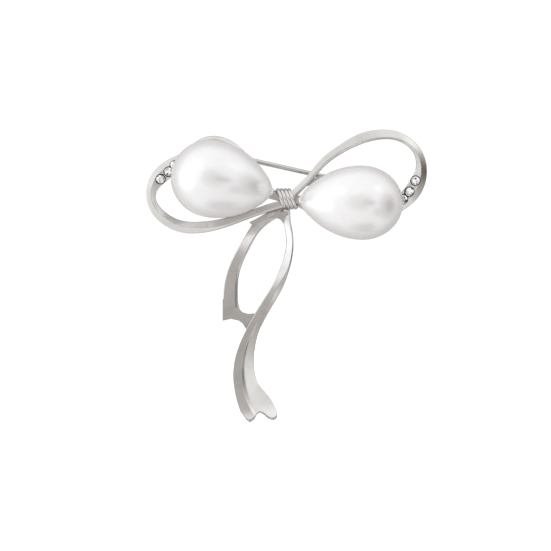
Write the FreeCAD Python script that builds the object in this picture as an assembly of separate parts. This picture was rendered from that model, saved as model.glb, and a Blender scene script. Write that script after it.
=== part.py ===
import FreeCAD, Part
import math
import os
from collections import namedtuple

# Ribbon bow brooch, millimetres.  It stands as it is worn: the bow lies in the XZ plane, +Z is up and
# -Y is the front.  Everything is drawn about the middle of the knot; build() then moves it so that the
# origin lies on the pin stem, in the middle of its straight part.

Vector = FreeCAD.Vector
Rotation = FreeCAD.Rotation
Placement = FreeCAD.Placement

# ---- driving dimensions -------------------------------------------------------------------------

SEAT_BACK = 0.0            # the backs of both pearl seats lie in this plane
SEAT_THICKNESS = 0.8
PEARL_BACK = SEAT_BACK - SEAT_THICKNESS
PEARL_GIRDLE = PEARL_BACK - 2.2      # depth at which a pearl is widest

RIBBON_THICKNESS = 1.0
RIBBON_EDGE = 0.16         # rounding of the ribbon edges
RIBBON_CREST = 0.10        # rounding of the crease along the front
SECTIONS_PER_RIBBON = 40

WIRE_RADIUS = 0.40         # pin stem
HINGE = (-12.35, 8.2)      # X and Z of the hinge axis
STEM_DEPTH = 2.6           # depth of the stem line behind the seats
STEM_TILT = 12.7           # the stem runs down to the right by this angle
ORIGIN_REACH = 11.4        # hinge axis to the origin
CATCH_REACH = 23.4         # hinge axis to the middle of the catch
STEM_LENGTH = 25.6         # hinge axis to the point
TAPER_REACH = 22.1         # hinge axis to where the stem starts to taper
TIP_RADIUS = 0.08

RUNNING_GAP = 0.05         # radial clearance of everything that turns
BOOLEAN_TOLERANCE = 0.001

STONE_RADIUS = 0.75

# The pear outline: the bulb end is an ellipse, the pointed end follows (1 - u^2)^PEAR_TAPER.
PEAR_BULB_SHARE = 0.39     # part of the length on the bulb side of the widest place
PEAR_TAPER = 0.77

Pearl = namedtuple("Pearl", "x z heading length width")   # place of the widest section, tip direction
LEFT_PEARL = Pearl(x=-12.7, z=3.35, heading=-12.3, length=17.75, width=13.2)
RIGHT_PEARL = Pearl(x=12.92, z=-0.75, heading=177.4, length=17.8, width=12.65)

# A ribbon is a row of stations along its middle line.  depth is the Y of its crease, crest the place
# of the crease as a share of the width counted from the left-hand side of travel, and left_fall and
# right_fall say how far back the two edges lie behind the crease.  step lifts a shoulder just left of
# the crease, so that the ribbon gets a gutter.
Station = namedtuple("Station", "x z depth width crest left_fall right_fall step", defaults=[0.0])
SHOULDER_SHARE = 0.10      # from the crease to the shoulder, over the width

LEFT_LOOP = [
    Station(-0.7, -0.9, -1.40, 1.4, 0.25, 0.30, 0.05),
    Station(-4.2, -2.0, -1.75, 1.35, 0.25, 0.30, 0.05),
    Station(-7.8, -3.3, -1.90, 1.40, 0.25, 0.30, 0.05),
    Station(-11.5, -4.4, -1.85, 1.75, 0.30, 0.30, 0.10),
    Station(-14.7, -4.9, -1.75, 2.00, 0.48, 0.40, 0.50),
    Station(-18.0, -4.7, -1.60, 2.05, 0.52, 0.50, 0.80),
    Station(-20.7, -3.4, -1.45, 1.95, 0.54, 0.50, 0.80),
    Station(-22.5, -1.5, -1.30, 1.75, 0.55, 0.30, 0.38),
    Station(-23.1, 0.4, -1.20, 1.70, 0.52, 0.25, 0.32),
    Station(-22.7, 2.2, -1.05, 2.10, 0.42, 0.28, 0.40),
    Station(-21.8, 3.6, -0.85, 2.70, 0.36, 0.30, 0.45),
    Station(-20.4, 4.9, -0.55, 2.90, 0.34, 0.34, 0.40),
    Station(-18.9, 5.9, -0.15, 2.80, 0.34, 0.50, 0.30),
    Station(-16.9, 7.2, 0.03, 2.20, 0.40, 0.40, 0.10),
    Station(-14.9, 9.35, 0.03, 1.50, 0.45, 0.45, 0.10),
    Station(-13.1, 10.25, 0.03, 1.15, 0.50, 0.50, 0.10),
    Station(-11.2, 10.1, 0.03, 1.20, 0.50, 0.50, 0.10),
    Station(-8.9, 8.85, 0.03, 1.45, 0.50, 0.45, 0.10),
    Station(-6.9, 6.8, 0.03, 1.45, 0.50, 0.40, 0.10),
    Station(-4.9, 4.2, 0.05, 1.50, 0.50, 0.20, 0.10),
    Station(-2.6, 1.2, 0.05, 1.40, 0.50, 0.10, 0.10),
    Station(-1.1, 0.2, 0.05, 1.30, 0.50, 0.10, 0.10),
]

RIGHT_LOOP = [
    Station(0.95, 0.5, -1.70, 1.30, 0.66, 0.20, 0.20),
    Station(2.4, 1.85, -1.75, 1.25, 0.66, 0.22, 0.22),
    Station(3.9, 3.4, -1.80, 1.20, 0.66, 0.22, 0.25),
    Station(6.35, 6.2, -1.85, 1.35, 0.68, 0.24, 0.30),
    Station(9.7, 8.65, -1.85, 1.55, 0.72, 0.28, 0.30),
    Station(13.0, 10.3, -1.80, 1.85, 0.78, 0.32, 0.30),
    Station(16.1, 10.95, -1.70, 1.75, 0.80, 0.38, 0.30),
    Station(18.8, 10.75, -1.60, 1.60, 0.78, 0.55, 0.30),
    Station(21.1, 9.55, -1.50, 1.45, 0.68, 0.62, 0.20),
    Station(22.55, 7.9, -1.35, 1.55, 0.60, 0.62, 0.20),
    Station(23.1, 6.1, -1.20, 1.80, 0.56, 0.65, 0.28),
    Station(23.1, 4.6, -1.05, 2.15, 0.50, 0.68, 0.42),
    Station(22.55, 2.9, -0.90, 2.70, 0.42, 0.70, 0.45),
    Station(21.6, 1.2, -0.75, 2.90, 0.39, 0.65, 0.45),
    Station(20.35, -0.1, -0.45, 2.80, 0.38, 0.50, 0.35),
    Station(18.9, -1.2, 0.05, 2.60, 0.38, 0.45, 0.20),
    Station(16.9, -2.8, 0.06, 2.20, 0.40, 0.30, 0.10),
    Station(13.9, -4.0, 0.03, 1.85, 0.45, 0.20, 0.10),
    Station(10.4, -4.1, 0.03, 1.70, 0.50, 0.10, 0.10),
    Station(6.6, -2.9, 0.03, 1.60, 0.50, 0.10, 0.10),
    Station(3.2, -1.2, 0.05, 1.45, 0.50, 0.10, 0.10),
    Station(1.3, -0.4, 0.05, 1.30, 0.50, 0.10, 0.10),
]

# Both tails are drawn from their free end up to the knot.
LEFT_TAIL = [
    Station(-9.5, -18.6, -0.30, 2.70, 0.80, 0.05, 0.10),
    Station(-9.5, -17.0, -0.30, 2.60, 0.80, 0.05, 0.10),
    Station(-9.4, -14.8, -0.30, 2.40, 0.80, 0.05, 0.10),
    Station(-8.95, -12.4, -0.35, 2.10, 0.80, 0.05, 0.12),
    Station(-8.1, -10.2, -0.45, 1.90, 0.80, 0.10, 0.15),
    Station(-6.9, -7.9, -0.75, 1.75, 0.82, 0.45, 0.15),
    Station(-5.5, -5.5, -0.95, 1.75, 0.84, 0.75, 0.15),
    Station(-4.2, -4.0, -0.85, 1.90, 0.84, 0.70, 0.12),
    Station(-2.7, -3.0, -0.70, 1.75, 0.80, 0.45, 0.10),
    Station(-1.4, -2.2, -0.55, 1.70, 0.60, 0.25, 0.10),
    Station(-0.3, -1.5, -0.40, 1.60, 0.50, 0.10, 0.10),
]

RIGHT_TAIL = [
    Station(-3.2, -38.9, -2.90, 5.40, 0.40, -0.40, -0.35, 0.00),
    Station(-4.0, -37.3, -1.85, 5.60, 0.40, -0.50, -0.45, 0.10),
    Station(-5.3, -35.2, -0.95, 5.70, 0.42, -0.50, -0.75, 0.35),
    Station(-6.6, -32.7, -0.50, 4.60, 0.46, -0.60, -0.90, 0.50),
    Station(-7.2, -29.9, -0.40, 3.90, 0.50, -0.60, -0.65, 0.50),
    Station(-7.1, -27.3, -0.50, 3.35, 0.52, -0.50, -0.35, 0.40),
    Station(-6.5, -24.7, -0.75, 2.75, 0.55, -0.28, -0.15, 0.20),
    Station(-5.5, -22.1, -1.00, 2.20, 0.60, -0.10, 0.00, 0.05),
    Station(-4.2, -19.6, -1.15, 2.00, 0.60, 0.05, 0.10),
    Station(-2.8, -17.3, -1.25, 1.90, 0.60, 0.10, 0.15),
    Station(-1.4, -14.9, -1.45, 1.80, 0.50, 0.20, 0.32),
    Station(-0.35, -12.4, -1.60, 1.65, 0.75, 0.55, 0.15),
    Station(0.4, -9.8, -1.70, 1.45, 0.82, 0.70, 0.20),
    Station(0.65, -7.6, -1.65, 1.30, 0.82, 0.70, 0.20),
    Station(0.5, -5.6, -1.40, 1.25, 0.80, 0.60, 0.20),
    Station(0.15, -3.9, -1.05, 1.35, 0.75, 0.45, 0.15),
    Station(-0.1, -2.5, -0.60, 1.70, 0.60, 0.30, 0.15),
    Station(-0.1, -1.2, -0.35, 1.60, 0.50, 0.20, 0.20),
]

# Stones of each loop, as X and Z of their middles.
LEFT_STONES = [(-21.45, 3.35), (-20.1, 4.65), (-19.05, 5.85)]
RIGHT_STONES = [(22.12, 3.1), (21.1, 1.2), (20.05, -0.1)]

# ---- small helpers ------------------------------------------------------------------------------


def lerp(start, end, share):
    return start + (end - start) * share


def biggest_solid(shape):
    """The main body of a boolean result, without slivers."""
    return max(shape.Solids, key=lambda solid: solid.Volume)


def cut_away(shape, *tools):
    """shape minus each tool, kept as one solid."""
    for tool in tools:
        shape = shape.cut(tool)
    return biggest_solid(shape)


def put_at(shape, placement):
    """A copy of the shape moved to a placement."""
    copy = shape.copy()
    copy.Placement = placement.multiply(copy.Placement)
    return copy


def box_about(x, y, z):
    """A box given by its three (low, high) pairs."""
    return Part.makeBox(x[1] - x[0], y[1] - y[0], z[1] - z[0], Vector(x[0], y[0], z[0]))


def rod(start, end, radius):
    axis = end - start
    return Part.makeCylinder(radius, axis.Length, start, axis)


def closed_spline(points):
    curve = Part.BSplineCurve()
    curve.interpolate(Points=points, PeriodicFlag=True)
    return Part.Wire(curve.toShape())


def prism_from_outline(outline, front, back):
    """A closed outline of (x, z) points with straight sides, filled between two depths."""
    points = [Vector(x, front, z) for x, z in outline]
    face = Part.Face(Part.makePolygon(points + points[:1]))
    return face.extrude(Vector(0, back - front, 0))


# ---- ribbons ------------------------------------------------------------------------------------


class Ribbon:
    """Smooth curves through a row of stations."""

    def __init__(self, stations):
        self.knots = [0.0]
        for before, after in zip(stations, stations[1:]):
            self.knots.append(self.knots[-1] + math.hypot(after.x - before.x, after.z - before.z))
        self.path = self.through((s.x, s.depth, s.z) for s in stations)
        self.shape = self.through((s.width, s.crest, knot) for s, knot in zip(stations, self.knots))
        self.falls = self.through((s.left_fall, s.right_fall, knot) for s, knot in zip(stations, self.knots))
        self.steps = self.through((s.step, 0, knot) for s, knot in zip(stations, self.knots))

    def through(self, values):
        """A curve that has the given three values at the stations."""
        curve = Part.BSplineCurve()
        curve.interpolate(Points=[Vector(*value) for value in values], Parameters=self.knots)
        return curve

    def sideways(self, place):
        """Unit vector in the XZ plane to the left of travel."""
        travel = self.path.tangent(place)[0]
        return Vector(-travel.z, 0, travel.x).normalize()

    def front(self, place):
        """Left edge, shoulder, crease and right edge of the front, as four points."""
        middle = self.path.value(place)
        left = self.sideways(place)
        width, crest, _ = self.shape.value(place)
        left_fall, right_fall, _ = self.falls.value(place)
        left_edge = middle + left * (width / 2) + Vector(0, left_fall, 0)
        crease = middle + left * (width / 2 - crest * width)
        right_edge = middle - left * (width / 2) + Vector(0, right_fall, 0)
        shoulder = lerp(crease, left_edge, SHOULDER_SHARE / crest) - Vector(0, self.steps.value(place).x, 0)
        return left_edge, shoulder, crease, right_edge

    def section(self, place):
        left_edge, shoulder, crease, right_edge = self.front(place)
        backwards = Vector(0, RIBBON_THICKNESS, 0)
        draft = (right_edge - left_edge) * 0.08
        corners = [
            (left_edge, RIBBON_EDGE),
            (shoulder, RIBBON_CREST / 2),
            (crease, RIBBON_CREST / 2),
            (right_edge, RIBBON_EDGE),
            (right_edge + backwards - draft, RIBBON_EDGE),
            (left_edge + backwards + draft, RIBBON_EDGE),
        ]
        return rounded_wire(corners)

    def solid(self):
        last = self.knots[-1]
        places = [last * i / (SECTIONS_PER_RIBBON - 1) for i in range(SECTIONS_PER_RIBBON)]
        return Part.makeLoft([self.section(place) for place in places], True, False)


def rounded_wire(corners):
    """Straight sides joined by a quadratic curve at each (corner, rounding)."""
    edges = []
    previous_end = None
    first_start = None
    for i, (corner, rounding) in enumerate(corners):
        before = corners[i - 1][0]
        after = corners[(i + 1) % len(corners)][0]
        start = corner + (before - corner).normalize() * rounding
        end = corner + (after - corner).normalize() * rounding
        if previous_end is not None:
            edges.append(Part.LineSegment(previous_end, start).toShape())
        curve = Part.BezierCurve()
        curve.setPoles([start, corner, end])
        edges.append(curve.toShape())
        previous_end = end
        first_start = first_start or start
    edges.append(Part.LineSegment(previous_end, first_start).toShape())
    return Part.Wire(edges)


# ---- pearls and their seats ---------------------------------------------------------------------


def pear_profile(length, width, samples=9):
    """Points of half a pear outline from the bulb end to the tip; its tip lies on +X."""
    bulb = length * PEAR_BULB_SHARE
    point = length - bulb
    half = width / 2
    profile = []
    for i in range(samples):
        turn = math.pi / 2 * i / (samples - 1)
        profile.append((-bulb * math.cos(turn), half * math.sin(turn)))
    for i in range(1, samples):
        along = math.sin(math.pi / 2 * i / (samples - 1))
        profile.append((point * along, half * (1 - along ** 2) ** PEAR_TAPER))
    profile[-1] = (point, 0.0)
    return profile


def pearl_placement(pearl):
    return Placement(Vector(pearl.x, 0, pearl.z), Rotation(Vector(0, 1, 0), -pearl.heading))


def pear_body(pearl, grow=0.0):
    """The pearl without its peg hole; grow makes it bigger all round."""
    profile = pear_profile(pearl.length + 2 * grow, pearl.width + 2 * grow)
    curve = Part.BSplineCurve()
    curve.interpolate(Points=[Vector(x, 0, z) for x, z in profile],
                      InitialTangent=Vector(0, 0, 1), FinalTangent=Vector(0.25, 0, -1))
    axis = Part.LineSegment(Vector(profile[-1][0], 0, 0), Vector(profile[0][0], 0, 0))
    face = Part.Face(Part.Wire([curve.toShape(), axis.toShape()]))
    front_half, back_half = [face.revolve(Vector(0, 0, 0), Vector(1, 0, 0), turn) for turn in (180, -180)]
    reach = pearl.length
    back_plane = PEARL_BACK + grow - PEARL_GIRDLE
    behind = box_about((-reach, reach), (back_plane, reach), (-reach, reach))
    body = front_half.fuse(back_half.cut(behind))
    girdle = Placement(Vector(0, PEARL_GIRDLE, 0), Rotation())
    return put_at(put_at(biggest_solid(body), girdle), pearl_placement(pearl))


PEG_RADIUS = 0.7
PEG_LENGTH = 3.0


def peg(pearl, radius, length):
    return rod(Vector(pearl.x, PEARL_BACK, pearl.z), Vector(pearl.x, PEARL_BACK - length, pearl.z), radius)


def make_pearl(pearl):
    hole = peg(pearl, PEG_RADIUS + RUNNING_GAP, PEG_LENGTH + 2 * RUNNING_GAP)
    return pear_body(pearl).cut(hole)


SEAT_SHARE = 0.87          # the seat outline over the pearl outline
NECK_THICKNESS = 0.35      # of the bar to the knot and of the lip


def make_seat(pearl):
    """A pear-shaped tray with a bevelled back and a peg for the pearl."""
    bevel = 0.25
    outlines = [
        pear_outline(pearl, SEAT_SHARE, PEARL_BACK),
        pear_outline(pearl, SEAT_SHARE, SEAT_BACK - bevel),
        pear_outline(pearl, SEAT_SHARE - 0.04, SEAT_BACK),
    ]
    plate = Part.makeLoft(outlines, True, True)
    plate.Placement = pearl_placement(pearl)
    neck = prism_from_outline(neck_outline(pearl), SEAT_BACK - NECK_THICKNESS, SEAT_BACK)
    return plate.fuse([neck, peg(pearl, PEG_RADIUS, PEG_LENGTH)]).removeSplitter()


def pear_outline(pearl, share, depth):
    """The pearl's outline scaled by share, as a closed curve at a depth."""
    profile = pear_profile(pearl.length * share, pearl.width * share, samples=6)
    upper = [Vector(x, depth, z) for x, z in profile]
    lower = [Vector(x, depth, -z) for x, z in profile[-2:0:-1]]
    return closed_spline(upper + lower)


def neck_outline(pearl):
    """The bar that joins the tip of a seat to the knot."""
    half = 0.7
    towards = Vector(-pearl.x, 0, -pearl.z).normalize()
    across = Vector(-towards.z, 0, towards.x) * half
    start = towards * -6.0
    end = towards * -0.9
    return [(p.x, p.z) for p in (start + across, end + across, end - across, start - across)]


# A lip of the right seat that shows between the pearl and the ribbon above it.
LIP = [(3.6, 2.2), (4.35, 3.3), (5.8, 4.05), (7.4, 4.2), (7.4, 2.2)]


def make_right_seat():
    lip = prism_from_outline(LIP, SEAT_BACK - NECK_THICKNESS, SEAT_BACK)
    return make_seat(RIGHT_PEARL).fuse(lip).removeSplitter()


# ---- the knot -----------------------------------------------------------------------------------

KNOT_TURNS = 4
KNOT_PITCH = 0.64          # along X from turn to turn
KNOT_LEAN = 21.5           # the turns lean from upper left to lower right, degrees from upright
KNOT_WIRE = 0.39           # radius of the binding wire
KNOT_RADIUS = 1.55         # of the wire line of one turn
KNOT_MIDDLE = Vector(0.12, -0.1, 0)


def knot_placement(offset):
    lean = Rotation(Vector(0, 1, 0), -KNOT_LEAN)
    return Placement(KNOT_MIDDLE + Vector(offset, 0, 0), lean)


def make_knot_wrap():
    """Turns of wire side by side, each a ring."""
    turn = Part.makeTorus(KNOT_RADIUS, KNOT_WIRE, Vector(0, 0, 0), Vector(1, 0, 0))
    middle_turn = (KNOT_TURNS - 1) / 2
    turns = [put_at(turn, knot_placement((i - middle_turn) * KNOT_PITCH)) for i in range(KNOT_TURNS)]
    return turns[0].fuse(turns[1:])


def make_knot_core():
    """The round bar inside the wrap that every strand is brazed to."""
    reach = KNOT_PITCH * (KNOT_TURNS - 1) / 2
    bar = rod(Vector(-reach, 0, 0), Vector(reach, 0, 0), KNOT_RADIUS - KNOT_WIRE)
    return put_at(bar, knot_placement(0))


# ---- stones -------------------------------------------------------------------------------------

CROWN_HEIGHT = 0.26
TABLE_SHARE = 0.56
PAVILION_DEPTH = 0.62
FACETS = 8


def make_stone():
    """A round brilliant; its girdle lies in XY and its table faces +Z."""
    girdle = 0.05
    stone = Part.makeCylinder(STONE_RADIUS, CROWN_HEIGHT + girdle + PAVILION_DEPTH,
                              Vector(0, 0, -PAVILION_DEPTH - girdle))
    table = STONE_RADIUS * TABLE_SHARE
    crown_slope = math.degrees(math.atan2(CROWN_HEIGHT, STONE_RADIUS - table))
    pavilion_slope = math.degrees(math.atan2(PAVILION_DEPTH, STONE_RADIUS))
    for i in range(FACETS):
        turn = 360 * i / FACETS
        stone = stone.cut(facet_cutter(turn, crown_slope, 0.0, 1))
        stone = stone.cut(facet_cutter(turn + 180 / FACETS, crown_slope * 1.35, 0.02, 1))
        stone = stone.cut(facet_cutter(turn, pavilion_slope, -girdle, -1))
    return biggest_solid(stone)


def facet_cutter(turn, slope, height, side):
    """A block that trims one facet; side is 1 above the girdle and -1 below it."""
    size = 2 * STONE_RADIUS
    block = Part.makeBox(2 * size, 2 * size, size, Vector(-size, -size, 0))
    if side < 0:
        block.translate(Vector(0, 0, -size))
    block.rotate(Vector(0, 0, 0), Vector(0, 1, 0), side * slope)
    block.translate(Vector(STONE_RADIUS, 0, height))
    block.rotate(Vector(0, 0, 0), Vector(0, 0, 1), turn)
    return block


def stone_placements(ribbon, stones):
    """Where the stones sit: on the right-hand face of the ribbon, square to it."""
    placements = []
    for x, z in stones:
        place = ribbon.path.parameter(Vector(x, ribbon_depth(ribbon, x, z), z))
        _, _, crease, right_edge = ribbon.front(place)
        across = right_edge - crease
        middle = lerp(crease, right_edge, 0.5)
        middle = Vector(x, crease.y + across.y * share_across(crease, across, x, z), z)
        travel = ribbon.path.tangent(place)[0]
        outwards = across.cross(travel).normalize()
        if outwards.y > 0:
            outwards = outwards * -1
        sunk = middle - outwards * 0.08
        placements.append(Placement(sunk, Rotation(Vector(0, 0, 1), outwards)))
    return placements


def ribbon_depth(ribbon, x, z):
    nearest = ribbon.path.parameter(Vector(x, -0.5, z))
    return ribbon.path.value(nearest).y


def share_across(crease, across, x, z):
    reach = math.hypot(across.x, across.z)
    return ((x - crease.x) * across.x + (z - crease.z) * across.z) / reach ** 2


BEAD_RADIUS = 0.2
BEAD_SPREAD = 0.4          # from the line of stones to a bead
BEAD_LIFT = 0.05


def bead_pair(before, after):
    """Two raised beads between neighbouring stones, one on each side of the row."""
    middle = lerp(before.Base, after.Base, 0.5)
    along = (after.Base - before.Base).normalize()
    outwards = before.Rotation.multVec(Vector(0, 0, 1))
    across = along.cross(outwards).normalize()
    return [Part.makeSphere(BEAD_RADIUS, middle + across * (side * BEAD_SPREAD) + outwards * BEAD_LIFT)
            for side in (-1, 1)]


def set_stones(strip, stone, placements):
    """Raise beads on the strip and sink the stones between them."""
    beads = []
    for before, after in zip(placements, placements[1:]):
        beads += bead_pair(before, after)
    recess_radius = STONE_RADIUS + 0.15
    recess_depth = 0.3
    recess = Part.makeCone(recess_radius - 0.15, recess_radius + 0.1, 2 * recess_depth,
                           Vector(0, 0, -recess_depth))
    strip = strip.fuse(beads, BOOLEAN_TOLERANCE)
    strip = strip.cut([put_at(recess, placement) for placement in placements])
    strip = biggest_solid(strip)
    return biggest_solid(strip.cut([put_at(stone, placement) for placement in placements]))


# ---- the left tail ends in a foot against the right tail ----------------------------------------

FOOT = [(-10.85, -17.2), (-10.85, -20.85), (-9.4, -20.55), (-8.1, -20.85), (-7.4, -21.35), (-6.8, -22.5),
        (-4.2, -20.4), (-5.2, -19.6), (-6.5, -19.7), (-7.4, -19.45), (-7.95, -18.9), (-8.2, -17.8),
        (-8.25, -17.2)]
FOOT_FRONT = -0.25

# A pointed corner of the left tail beside the loop.
SPUR = [(-3.2, -2.4), (-6.3, -4.0), (-5.4, -4.95), (-3.9, -4.2)]
SPUR_FRONT = -0.45

# The right tail ends along this line: two rounded tips with a notch between them.
FORK = [(-9.2, -34.2), (-7.9, -35.4), (-7.15, -36.4), (-6.75, -37.05), (-6.2, -37.35), (-5.65, -37.05),
        (-5.25, -36.5), (-4.95, -35.9), (-4.55, -35.6), (-4.1, -35.8), (-3.4, -36.6), (-2.75, -37.3),
        (-2.15, -37.55), (-1.65, -37.25), (-1.45, -36.6), (-1.15, -35.8), (-0.4, -35.0)]
FORK_DEPTH = -2.2
FORK_CURL = 42             # the tips curl towards the front by this angle

# The web that rounds off the arch between the two tails, just below the knot.
WEB = [(-2.9, -3.25), (-2.3, -3.35), (-1.6, -3.3), (-0.95, -3.55), (-0.46, -4.12), (-0.15, -5.0),
       (0.0, -5.8), (0.4, -5.8), (0.4, -2.2), (-1.6, -2.2)]
WEB_FRONT = -0.70


def make_left_tail():
    strip = Ribbon(LEFT_TAIL).solid()
    foot = prism_from_outline(FOOT, FOOT_FRONT, FOOT_FRONT + RIBBON_THICKNESS)
    spur = prism_from_outline(SPUR, SPUR_FRONT, SPUR_FRONT + RIBBON_THICKNESS / 2)
    return strip.fuse([foot, spur])


def make_right_tail():
    strip = Ribbon(RIGHT_TAIL).solid().cut(fork_cutter())
    return strip.fuse(prism_from_outline(WEB, WEB_FRONT, WEB_FRONT + RIBBON_THICKNESS))


def fork_cutter():
    """Everything below the fork line, cut square to the curled end of the ribbon."""
    curve = Part.BSplineCurve()
    curve.interpolate([Vector(x, FORK_DEPTH, z) for x, z in FORK])
    start, end = curve.StartPoint, curve.EndPoint
    below = Vector(0, 0, -8)
    sides = Part.makePolygon([end, end + below, start + below, start])
    face = Part.Face(Part.Wire([curve.toShape()] + sides.Edges))
    backwards = Rotation(Vector(1, 0, 0), -FORK_CURL).multVec(Vector(0, 1, 0))
    face.translate(backwards * -3)
    return face.extrude(backwards * 6)


# ---- pin, hinge and catch, built along +X from the hinge axis and then put in place --------------

EYE_RADIUS = 0.8
EYE_WIDTH = 1.0
EAR_THICKNESS = 0.45
RIVET_RADIUS = 0.32
EAR_INSIDE = EYE_WIDTH / 2 + RUNNING_GAP
EAR_OUTSIDE = EAR_INSIDE + EAR_THICKNESS

ROLLER_RADIUS = 1.10
ROLLER_BORE = 0.50
ROLLER_SLOT = 1.0
FLANGE_RADIUS = 1.4
FLANGE_THICKNESS = 0.4
HOUSING_RADIUS = 1.7
HOUSING_LENGTH = 1.5
HOUSING_SLOT = 1.2


def fitting_placement():
    return Placement(Vector(HINGE[0], STEM_DEPTH, HINGE[1]), Rotation(Vector(0, 1, 0), STEM_TILT))


def put_on(fitting):
    fitting.Placement = fitting_placement().multiply(fitting.Placement)
    return fitting


def make_pin_stem():
    eye = Part.makeCylinder(EYE_RADIUS, EYE_WIDTH, Vector(0, 0, -EYE_WIDTH / 2))
    wire = rod(Vector(0, 0, 0), Vector(TAPER_REACH, 0, 0), WIRE_RADIUS)
    tip_length = STEM_LENGTH - TAPER_REACH
    tip = Part.makeCone(WIRE_RADIUS, TIP_RADIUS, tip_length, Vector(TAPER_REACH, 0, 0), Vector(1, 0, 0))
    bore = Part.makeCylinder(RIVET_RADIUS + RUNNING_GAP, 2 * EYE_WIDTH, Vector(0, 0, -EYE_WIDTH))
    return put_on(eye.fuse([wire, tip]).cut(bore).removeSplitter())


def make_hinge_rivet():
    head_radius = 0.6
    head_height = 0.3
    rivet = Part.makeCylinder(RIVET_RADIUS, 2 * EAR_OUTSIDE, Vector(0, 0, -EAR_OUTSIDE))
    heads = [Part.makeCone(head_radius, head_radius * 0.6, head_height, Vector(0, 0, side * EAR_OUTSIDE),
                           Vector(0, 0, side)) for side in (-1, 1)]
    return put_on(rivet.fuse(heads).removeSplitter())


def make_hinge_bracket():
    base_back = 0.5
    base = box_about((-1.4, 1.4), (-STEM_DEPTH, -STEM_DEPTH + base_back), (-EAR_OUTSIDE, EAR_OUTSIDE))
    ears = []
    for low in (-EAR_OUTSIDE, EAR_INSIDE):
        high = low + EAR_THICKNESS
        ears.append(box_about((-EYE_RADIUS, EYE_RADIUS), (-STEM_DEPTH, 0), (low, high)))
        ears.append(Part.makeCylinder(EYE_RADIUS, EAR_THICKNESS, Vector(0, 0, low)))
    bracket = base.fuse(ears)
    bore = Part.makeCylinder(RIVET_RADIUS, 3 * EAR_OUTSIDE, Vector(0, 0, -1.5 * EAR_OUTSIDE))
    return put_on(bracket.cut(bore).removeSplitter())


def make_catch_housing():
    start = CATCH_REACH - HOUSING_LENGTH / 2
    along = Vector(1, 0, 0)
    shell = Part.makeCylinder(HOUSING_RADIUS, HOUSING_LENGTH, Vector(start, 0, 0), along)
    foot = box_about((start, start + HOUSING_LENGTH), (-STEM_DEPTH, 0), (-1.1, 1.1))
    bore = Part.makeCylinder(ROLLER_RADIUS + RUNNING_GAP, HOUSING_LENGTH, Vector(start, 0, 0), along)
    slot = box_about((start, start + HOUSING_LENGTH), (0, 2 * HOUSING_RADIUS),
                     (-HOUSING_SLOT / 2, HOUSING_SLOT / 2))
    return put_on(shell.fuse(foot).cut(bore).cut(slot).removeSplitter())


def make_catch_roller():
    """A slotted sleeve with a flange at each end and a thumb tab on the outer flange."""
    barrel = HOUSING_LENGTH + 0.2
    inner_face = CATCH_REACH - barrel / 2
    outer_face = CATCH_REACH + barrel / 2
    along = Vector(1, 0, 0)
    sleeve = Part.makeCylinder(ROLLER_RADIUS, barrel, Vector(inner_face, 0, 0), along)
    flanges = [
        Part.makeCylinder(FLANGE_RADIUS, FLANGE_THICKNESS, Vector(inner_face - FLANGE_THICKNESS, 0, 0), along),
        Part.makeCylinder(FLANGE_RADIUS, FLANGE_THICKNESS, Vector(outer_face, 0, 0), along),
    ]
    tab = box_about((outer_face, outer_face + FLANGE_THICKNESS), (-0.45, 0.45), (-2.4, 0))
    thumb = Part.makeSphere(0.5, Vector(outer_face + FLANGE_THICKNESS / 2, 0, -2.4))
    roller = sleeve.fuse(flanges + [tab, thumb])
    through = (inner_face - FLANGE_THICKNESS, outer_face + FLANGE_THICKNESS)
    bore = Part.makeCylinder(ROLLER_BORE, through[1] - through[0], Vector(through[0], 0, 0), along)
    slot = box_about(through, (0, 2 * FLANGE_RADIUS), (-ROLLER_SLOT / 2, ROLLER_SLOT / 2))
    return put_on(roller.cut(bore).cut(slot).removeSplitter())


# ---- assembly -----------------------------------------------------------------------------------


def build():
    wrap = make_knot_wrap()
    core = cut_away(make_knot_core(), wrap)
    left_seat = cut_away(make_seat(LEFT_PEARL), wrap, core)
    right_seat = cut_away(make_right_seat(), wrap, core)
    left_room = pear_body(LEFT_PEARL, grow=RUNNING_GAP)

    left_ribbon = Ribbon(LEFT_LOOP)
    right_ribbon = Ribbon(RIGHT_LOOP)
    stone = make_stone()
    left_places = stone_placements(left_ribbon, LEFT_STONES)
    right_places = stone_placements(right_ribbon, RIGHT_STONES)
    left_loop = cut_away(set_stones(left_ribbon.solid(), stone, left_places), wrap, core, left_room)
    right_loop = cut_away(set_stones(right_ribbon.solid(), stone, right_places), wrap, core)

    right_tail = cut_away(make_right_tail(), wrap, core)
    left_tail = cut_away(make_left_tail(), wrap, core, right_tail, left_loop)

    nodes = {
        "knot_wrap": wrap,
        "knot_core": core,
        "left_loop": left_loop,
        "right_loop": right_loop,
        "left_tail": left_tail,
        "right_tail": right_tail,
        "left_pearl_seat": left_seat,
        "right_pearl_seat": right_seat,
        "left_pearl": make_pearl(LEFT_PEARL),
        "right_pearl": make_pearl(RIGHT_PEARL),
        "hinge_bracket": make_hinge_bracket(),
        "hinge_rivet": make_hinge_rivet(),
        "pin_stem": make_pin_stem(),
        "catch_housing": make_catch_housing(),
        "catch_roller": make_catch_roller(),
    }
    for side, places in (("left", left_places), ("right", right_places)):
        for i, placement in enumerate(places):
            nodes[f"{side}_crystal_{i + 1}"] = put_at(stone, placement)

    origin = fitting_placement().multVec(Vector(ORIGIN_REACH, 0, 0))
    about_origin = Placement(origin * -1, Rotation())
    return {name: put_at(shape, about_origin) for name, shape in nodes.items()}


os.makedirs("parts", exist_ok=True)
for name, shape in build().items():
    shape.exportStep(f"parts/{name}.step")
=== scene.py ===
import math

import bpy
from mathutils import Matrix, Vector

MM = 0.001

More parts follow.
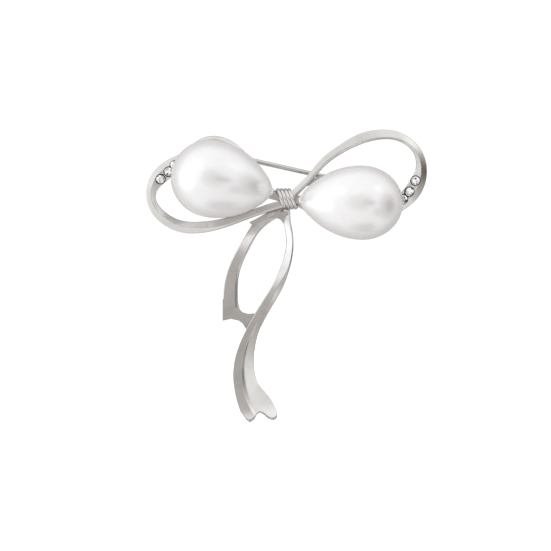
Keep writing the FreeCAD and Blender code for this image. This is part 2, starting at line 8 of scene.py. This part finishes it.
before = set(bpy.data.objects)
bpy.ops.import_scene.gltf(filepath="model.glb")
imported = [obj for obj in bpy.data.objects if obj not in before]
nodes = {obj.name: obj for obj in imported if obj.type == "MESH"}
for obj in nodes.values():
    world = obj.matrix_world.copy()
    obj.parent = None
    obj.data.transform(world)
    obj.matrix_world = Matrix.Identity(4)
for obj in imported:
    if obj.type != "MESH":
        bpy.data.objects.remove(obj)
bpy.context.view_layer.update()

PLATED = ["knot_core", "knot_wrap", "left_loop", "right_loop", "left_tail", "right_tail",
          "left_pearl_seat", "right_pearl_seat"]
FINDINGS = ["hinge_bracket", "hinge_rivet", "catch_housing", "catch_roller"]
PEARLS = ["left_pearl", "right_pearl"]
CRYSTALS = [name for name in nodes if "crystal" in name]


# ---- node-graph helpers ------------------------------------------------------------------------

# the colour sockets of a mix node, whose names are shared with its other kinds of socket
MIX_SHARE = 0
MIX_FIRST = 6
MIX_SECOND = 7
MIX_COLOUR = 2


class Graph:
    """Short spellings for building a shader node tree."""

    def __init__(self, tree, output_kind):
        self.tree = tree
        tree.nodes.clear()
        self.output = self.node(output_kind)

    def node(self, kind, **settings):
        made = self.tree.nodes.new(kind)
        for name, value in settings.items():
            setattr(made, name, value)
        return made

    def feed(self, socket, value):
        """Connects value to a socket, or sets it when it is a plain number or colour."""
        if isinstance(value, bpy.types.NodeSocket):
            self.tree.links.new(value, socket)
        else:
            socket.default_value = value

    def show(self, shader):
        """Sends shader to the tree's output, in place of any shader sent there before."""
        self.feed(self.output.inputs["Surface"], shader)

    def math(self, operation, first, second=0.0):
        made = self.node("ShaderNodeMath", operation=operation)
        self.feed(made.inputs[0], first)
        self.feed(made.inputs[1], second)
        return made.outputs[0]

    def dot(self, first, second):
        made = self.node("ShaderNodeVectorMath", operation="DOT_PRODUCT")
        self.feed(made.inputs[0], first)
        self.feed(made.inputs[1], second)
        return made.outputs["Value"]

    def ramp(self, value, low, high, out_low=0.0, out_high=1.0):
        """Smooth step from out_low to out_high while value goes from low to high."""
        made = self.node("ShaderNodeMapRange", interpolation_type="SMOOTHSTEP")
        for name, number in (("Value", value), ("From Min", low), ("From Max", high),
                             ("To Min", out_low), ("To Max", out_high)):
            self.feed(made.inputs[name], number)
        return made.outputs["Result"]

    def mix(self, share, first, second):
        """Blends two colours: first at share 0, second at share 1."""
        made = self.node("ShaderNodeMix", data_type="RGBA")
        self.feed(made.inputs[MIX_SHARE], share)
        self.feed(made.inputs[MIX_FIRST], first)
        self.feed(made.inputs[MIX_SECOND], second)
        return made.outputs[MIX_COLOUR]

    def mix_shaders(self, share, first, second):
        made = self.node("ShaderNodeMixShader")
        for socket, value in zip(made.inputs, (share, first, second)):
            self.feed(socket, value)
        return made.outputs[0]

    def seen_by_camera(self):
        return self.node("ShaderNodeLightPath").outputs["Is Camera Ray"]

    def noise(self, where, size, detail=2.0, roughness=0.5):
        """Noise whose lumps are about size metres across."""
        made = self.node("ShaderNodeTexNoise")
        self.feed(made.inputs["Vector"], where)
        made.inputs["Scale"].default_value = 1.0 / size
        made.inputs["Detail"].default_value = detail
        made.inputs["Roughness"].default_value = roughness
        return made.outputs["Fac"]

    def bump(self, height, depth, normal=None):
        made = self.node("ShaderNodeBump")
        made.inputs["Strength"].default_value = 1.0
        made.inputs["Distance"].default_value = depth
        self.feed(made.inputs["Height"], height)
        if normal is not None:
            self.feed(made.inputs["Normal"], normal)
        return made.outputs["Normal"]


def new_material(name):
    """A material, its graph, its main shader and the coordinates that its textures follow."""
    material = bpy.data.materials.new(name)
    material.use_nodes = True
    graph = Graph(material.node_tree, "ShaderNodeOutputMaterial")
    surface = graph.node("ShaderNodeBsdfPrincipled")
    graph.show(surface.outputs[0])
    where = graph.node("ShaderNodeTexCoord").outputs["Object"]
    return material, graph, surface, where


def stretched(graph, where, stretch):
    """The coordinates squeezed so that noise runs in streaks."""
    made = graph.node("ShaderNodeMapping")
    made.inputs["Scale"].default_value = stretch
    graph.feed(made.inputs["Vector"], where)
    return made.outputs[0]


# ---- materials ---------------------------------------------------------------------------------

# dark brown-grey used both for random tarnish patches and for painted shade in the hollows
TARNISH_AND_SHADE = (0.22, 0.20, 0.19, 1)
HOLLOW_REACH = 0.6 * MM        # how near a neighbour has to be for painted shade to darken the metal beside it
PEARL_LUSTRE = 0.30            # how far the lacquer is from white paint (0) to metal (1)
FACET = 0.33 * MM              # size of the bright and dark patches in a stone


def metal(name, colour, roughness, streaks, wave_depth):
    """Bright plate: brushed streaks, soft casting waves, rougher worn patches, and painted shade that
    darkens the hollows.
    """
    material, graph, surface, where = new_material(name)
    waves = graph.noise(where, 2.2 * MM, detail=2.0)
    grain = graph.noise(stretched(graph, where, streaks), 0.12 * MM, detail=4.0, roughness=0.6)
    speckle = graph.noise(where, 0.35 * MM, detail=3.0, roughness=0.65)
    patches = graph.noise(where, 3.5 * MM, detail=3.0, roughness=0.6)

    # painted shade: ambient occlusion darkens the colour where neighbouring parts crowd the metal
    hollow = graph.node("ShaderNodeAmbientOcclusion", samples=6)
    hollow.inputs["Distance"].default_value = HOLLOW_REACH
    painted_hollow_shade = graph.ramp(hollow.outputs["AO"], 0.80, 0.30)
    cloud = graph.ramp(patches, 0.45, 0.75, 0.0, 0.15)
    # the darker of the painted hollow shade and the random tarnish patches sets how far the colour turns
    # dark
    tarnish_and_painted_shade = graph.math("MAXIMUM", graph.math("MULTIPLY", painted_hollow_shade, 0.9), cloud)
    graph.feed(surface.inputs["Base Color"], graph.mix(tarnish_and_painted_shade, colour, TARNISH_AND_SHADE))

    worn = graph.ramp(speckle, 0.35, 0.75, -0.02, 0.03)
    rough = graph.math("ADD", worn, graph.ramp(grain, 0.3, 0.7, roughness - 0.02, roughness + 0.03))
    graph.feed(surface.inputs["Roughness"], rough)
    surface.inputs["Metallic"].default_value = 1.0

    normal = graph.bump(waves, wave_depth)
    normal = graph.bump(grain, 0.0003 * MM, normal)
    normal = graph.bump(speckle, 0.0006 * MM, normal)
    graph.feed(surface.inputs["Normal"], normal)
    return material


def pearl_material():
    """Lacquered imitation pearl: white body, part-metallic lustre and a faint painted pink sheen near the
    rim.
    """
    material, graph, surface, where = new_material("pearl_lacquer")
    clouds = graph.noise(where, 5.0 * MM, detail=3.0)
    powder = graph.noise(where, 0.15 * MM, detail=3.0, roughness=0.7)
    facing = graph.node("ShaderNodeLayerWeight")
    facing.inputs["Blend"].default_value = 0.5
    edge = facing.outputs["Facing"]

    body = graph.mix(graph.ramp(clouds, 0.35, 0.7), (0.905, 0.902, 0.905, 1), (0.935, 0.935, 0.942, 1))
    # painted sheen: the base colour turns pink in a band near the rim, where the surface turns away from
    # the viewer
    painted_rim_sheen = graph.math("MULTIPLY", graph.ramp(edge, 0.35, 0.65), graph.ramp(edge, 0.95, 0.7))
    body = graph.mix(graph.math("MULTIPLY", painted_rim_sheen, 0.5), body, (0.90, 0.845, 0.84, 1))
    graph.feed(surface.inputs["Base Color"], body)
    graph.feed(surface.inputs["Roughness"], graph.ramp(powder, 0.3, 0.7, 0.19, 0.25))
    surface.inputs["Metallic"].default_value = PEARL_LUSTRE
    surface.inputs["Subsurface Weight"].default_value = 0.1
    surface.inputs["Subsurface Radius"].default_value = (1.0, 0.9, 0.85)
    surface.inputs["Subsurface Scale"].default_value = 0.8 * MM
    surface.inputs["Coat Weight"].default_value = 0.5
    surface.inputs["Coat Roughness"].default_value = 0.1
    surface.inputs["Coat IOR"].default_value = 1.5
    normal = graph.bump(clouds, 0.02 * MM)
    normal = graph.bump(powder, 0.0003 * MM, normal)
    graph.feed(surface.inputs["Normal"], normal)
    return material


def crystal_material():
    """Foil-backed cut glass: a mosaic of bright and dark inner reflections under polished facets."""
    material, graph, surface, where = new_material("crystal_glass")
    mosaic = graph.node("ShaderNodeTexVoronoi", feature="F1")
    graph.feed(mosaic.inputs["Vector"], where)
    mosaic.inputs["Scale"].default_value = 1.0 / FACET
    split = graph.node("ShaderNodeSeparateColor")
    graph.feed(split.inputs[0], mosaic.outputs["Color"])
    tone = graph.ramp(split.outputs["Red"], 0.12, 0.45)
    tint = graph.mix(split.outputs["Green"], (0.93, 0.95, 1.0, 1), (1.0, 0.985, 0.96, 1))
    graph.feed(surface.inputs["Base Color"], graph.mix(tone, (0.10, 0.095, 0.09, 1), tint))
    rubbed = graph.noise(where, 0.2 * MM, detail=3.0)
    graph.feed(surface.inputs["Roughness"], graph.ramp(rubbed, 0.45, 0.8, 0.03, 0.10))
    surface.inputs["Metallic"].default_value = 0.85
    surface.inputs["Coat Weight"].default_value = 1.0
    surface.inputs["Coat Roughness"].default_value = 0.02
    surface.inputs["Coat IOR"].default_value = 1.6
    graph.feed(surface.inputs["Normal"], graph.bump(split.outputs["Blue"], 0.02 * MM))
    return material


def floor_material():
    """White paper that only the camera sees; every other ray meets the tent below it."""
    material, graph, surface, where = new_material("white_sweep")
    paper = graph.noise(where, 1.0 * MM, detail=3.0)
    shade = graph.mix(paper, (0.90, 0.90, 0.90, 1), (0.93, 0.93, 0.93, 1))
    graph.feed(surface.inputs["Base Color"], shade)
    surface.inputs["Roughness"].default_value = 0.9
    surface.inputs["Emission Color"].default_value = (1, 1, 1, 1)
    surface.inputs["Emission Strength"].default_value = 0.9
    graph.feed(surface.inputs["Normal"], graph.bump(paper, 0.01 * MM))
    clear = graph.node("ShaderNodeBsdfTransparent").outputs[0]
    graph.show(graph.mix_shaders(graph.seen_by_camera(), clear, surface.outputs[0]))
    return material


def dress(names, material):
    """Gives the named pieces one material in place of any they have."""
    for name in names:
        mesh = nodes[name].data
        mesh.materials.clear()
        mesh.materials.append(material)


# ---- studio ------------------------------------------------------------------------------------

LENS = 150.0
SENSOR = 36.0
FRAME_WIDTH = 94.4 * MM
KNOT = Vector((1.229, -2.6, -5.694)) * MM      # the middle of the knot in the shared frame
AIM = KNOT + Vector((-1.80, 0.0, -13.12)) * MM

FLOOR_REACH = 3.0              # metres from the middle of the floor to its sides
FLOOR_LEVEL = -95 * MM

# Each patch of the tent: where it is seen from the brooch, how many degrees from there it is at
# full strength, how many degrees from there it ends, and its colour. Later ones lie over earlier.
TENT_PATCHES = [
    ((0.97, -0.22, -0.15), 15, 40, (0.46, 0.425, 0.40)),       # wide grey card on the right
    ((0.10, -0.05, -0.99), 6, 26, (0.45, 0.425, 0.41)),        # grey card straight below
    ((-0.93, -0.28, -0.08), 10, 34, (1.60, 1.60, 1.61)),       # large soft box on the left
    ((-0.65, -0.55, 0.50), 6, 26, (1.30, 1.30, 1.31)),         # soft box at the upper left
    ((0.62, -0.45, 0.64), 4, 16, (1.40, 1.40, 1.40)),          # small soft box at the upper right
    ((0, -1, 0), 8, 34, (0.60, 0.57, 0.55)),                   # the opening around the camera
    ((0.60, -0.65, -0.45), 4, 18, (0.60, 0.58, 0.57)),         # small grey card at the lower right
    ((0.975, -0.20, -0.12), 7, 19, (0.08, 0.05, 0.04)),        # black card in front of the grey one
]
TENT_GAP = (0.16, 0.15, 0.145)


def make_camera():
    data = bpy.data.cameras.new("camera")
    data.lens = LENS
    data.sensor_width = SENSOR
    data.clip_start = 0.01
    camera = bpy.data.objects.new("camera", data)
    bpy.context.scene.collection.objects.link(camera)
    distance = FRAME_WIDTH * LENS / SENSOR
    camera.location = AIM + Vector((0, -distance, 0))
    camera.rotation_euler = (math.pi / 2, 0, 0)
    bpy.context.scene.camera = camera


def tent_patch(graph, direction, colour, aim, inner, outer, tint):
    """Blends tint into colour around aim, fully within inner degrees and not past outer."""
    closeness = graph.dot(direction, Vector(aim).normalized())
    share = graph.ramp(closeness, math.cos(math.radians(outer)), math.cos(math.radians(inner)))
    return graph.mix(share, colour, (*tint, 1))


def tent_gap(graph, axes, colour):
    """The unlit gap level with the camera, from straight ahead round to the right."""
    level = graph.ramp(graph.math("ABSOLUTE", graph.math("ADD", axes["Z"], 0.02)), 0.16, 0.05)
    left_end = graph.ramp(axes["X"], -0.05, 0.22)
    right_end = graph.ramp(axes["X"], 0.72, 0.35)
    in_front = graph.math("LESS_THAN", axes["Y"], 0.0)
    share = graph.math("MULTIPLY", graph.math("MULTIPLY", left_end, right_end),
                       graph.math("MULTIPLY", level, in_front))
    return graph.mix(share, colour, (*TENT_GAP, 1))


def make_world():
    """A white tent around the brooch, darker behind it and towards the camera, with soft boxes.

    The camera itself sees plain white in its place.
    """
    world = bpy.data.worlds.new("tent")
    world.use_nodes = True
    bpy.context.scene.world = world
    graph = Graph(world.node_tree, "ShaderNodeOutputWorld")
    direction = graph.node("ShaderNodeTexCoord").outputs["Generated"]
    parts = graph.node("ShaderNodeSeparateXYZ")
    graph.feed(parts.inputs[0], direction)
    axes = parts.outputs
    upward = graph.ramp(axes["Z"], -0.6, 0.5)
    behind = graph.ramp(axes["Y"], -0.1, 0.6)
    colour = graph.mix(upward, (0.99, 0.98, 0.975, 1), (1.10, 1.10, 1.10, 1))
    colour = graph.mix(behind, colour, (0.52, 0.51, 0.50, 1))
    for aim, inner, outer, tint in TENT_PATCHES:
        colour = tent_patch(graph, direction, colour, aim, inner, outer, tint)
    colour = tent_gap(graph, axes, colour)
    tent = graph.node("ShaderNodeBackground")
    graph.feed(tent.inputs["Color"], colour)
    plain = graph.node("ShaderNodeBackground")
    plain.inputs["Color"].default_value = (1.05, 1.05, 1.05, 1)
    graph.show(graph.mix_shaders(graph.seen_by_camera(), tent.outputs[0], plain.outputs[0]))


def make_floor():
    """A wide pale sweep well below the brooch."""
    sides = [(-1, -1), (1, -1), (1, 1), (-1, 1)]
    corners = [(x * FLOOR_REACH, y * FLOOR_REACH, FLOOR_LEVEL) for x, y in sides]
    mesh = bpy.data.meshes.new("floor")
    mesh.from_pydata(corners, [], [(0, 1, 2, 3)])
    mesh.materials.append(floor_material())
    floor = bpy.data.objects.new("floor", mesh)
    bpy.context.scene.collection.objects.link(floor)


bpy.context.scene.view_settings.view_transform = "Standard"
bpy.context.scene.view_settings.look = "None"

dress(PLATED, metal("rhodium_plate", (0.68, 0.67, 0.655, 1), 0.20, (1, 1, 6), 0.03 * MM))
dress(FINDINGS, metal("plated_steel", (0.64, 0.63, 0.61, 1), 0.22, (1, 1, 6), 0.0))
dress(["pin_stem"], metal("drawn_wire", (0.60, 0.59, 0.57, 1), 0.24, (0.1, 1, 1), 0.0))
dress(PEARLS, pearl_material())
dress(CRYSTALS, crystal_material())

make_camera()
make_world()
make_floor()
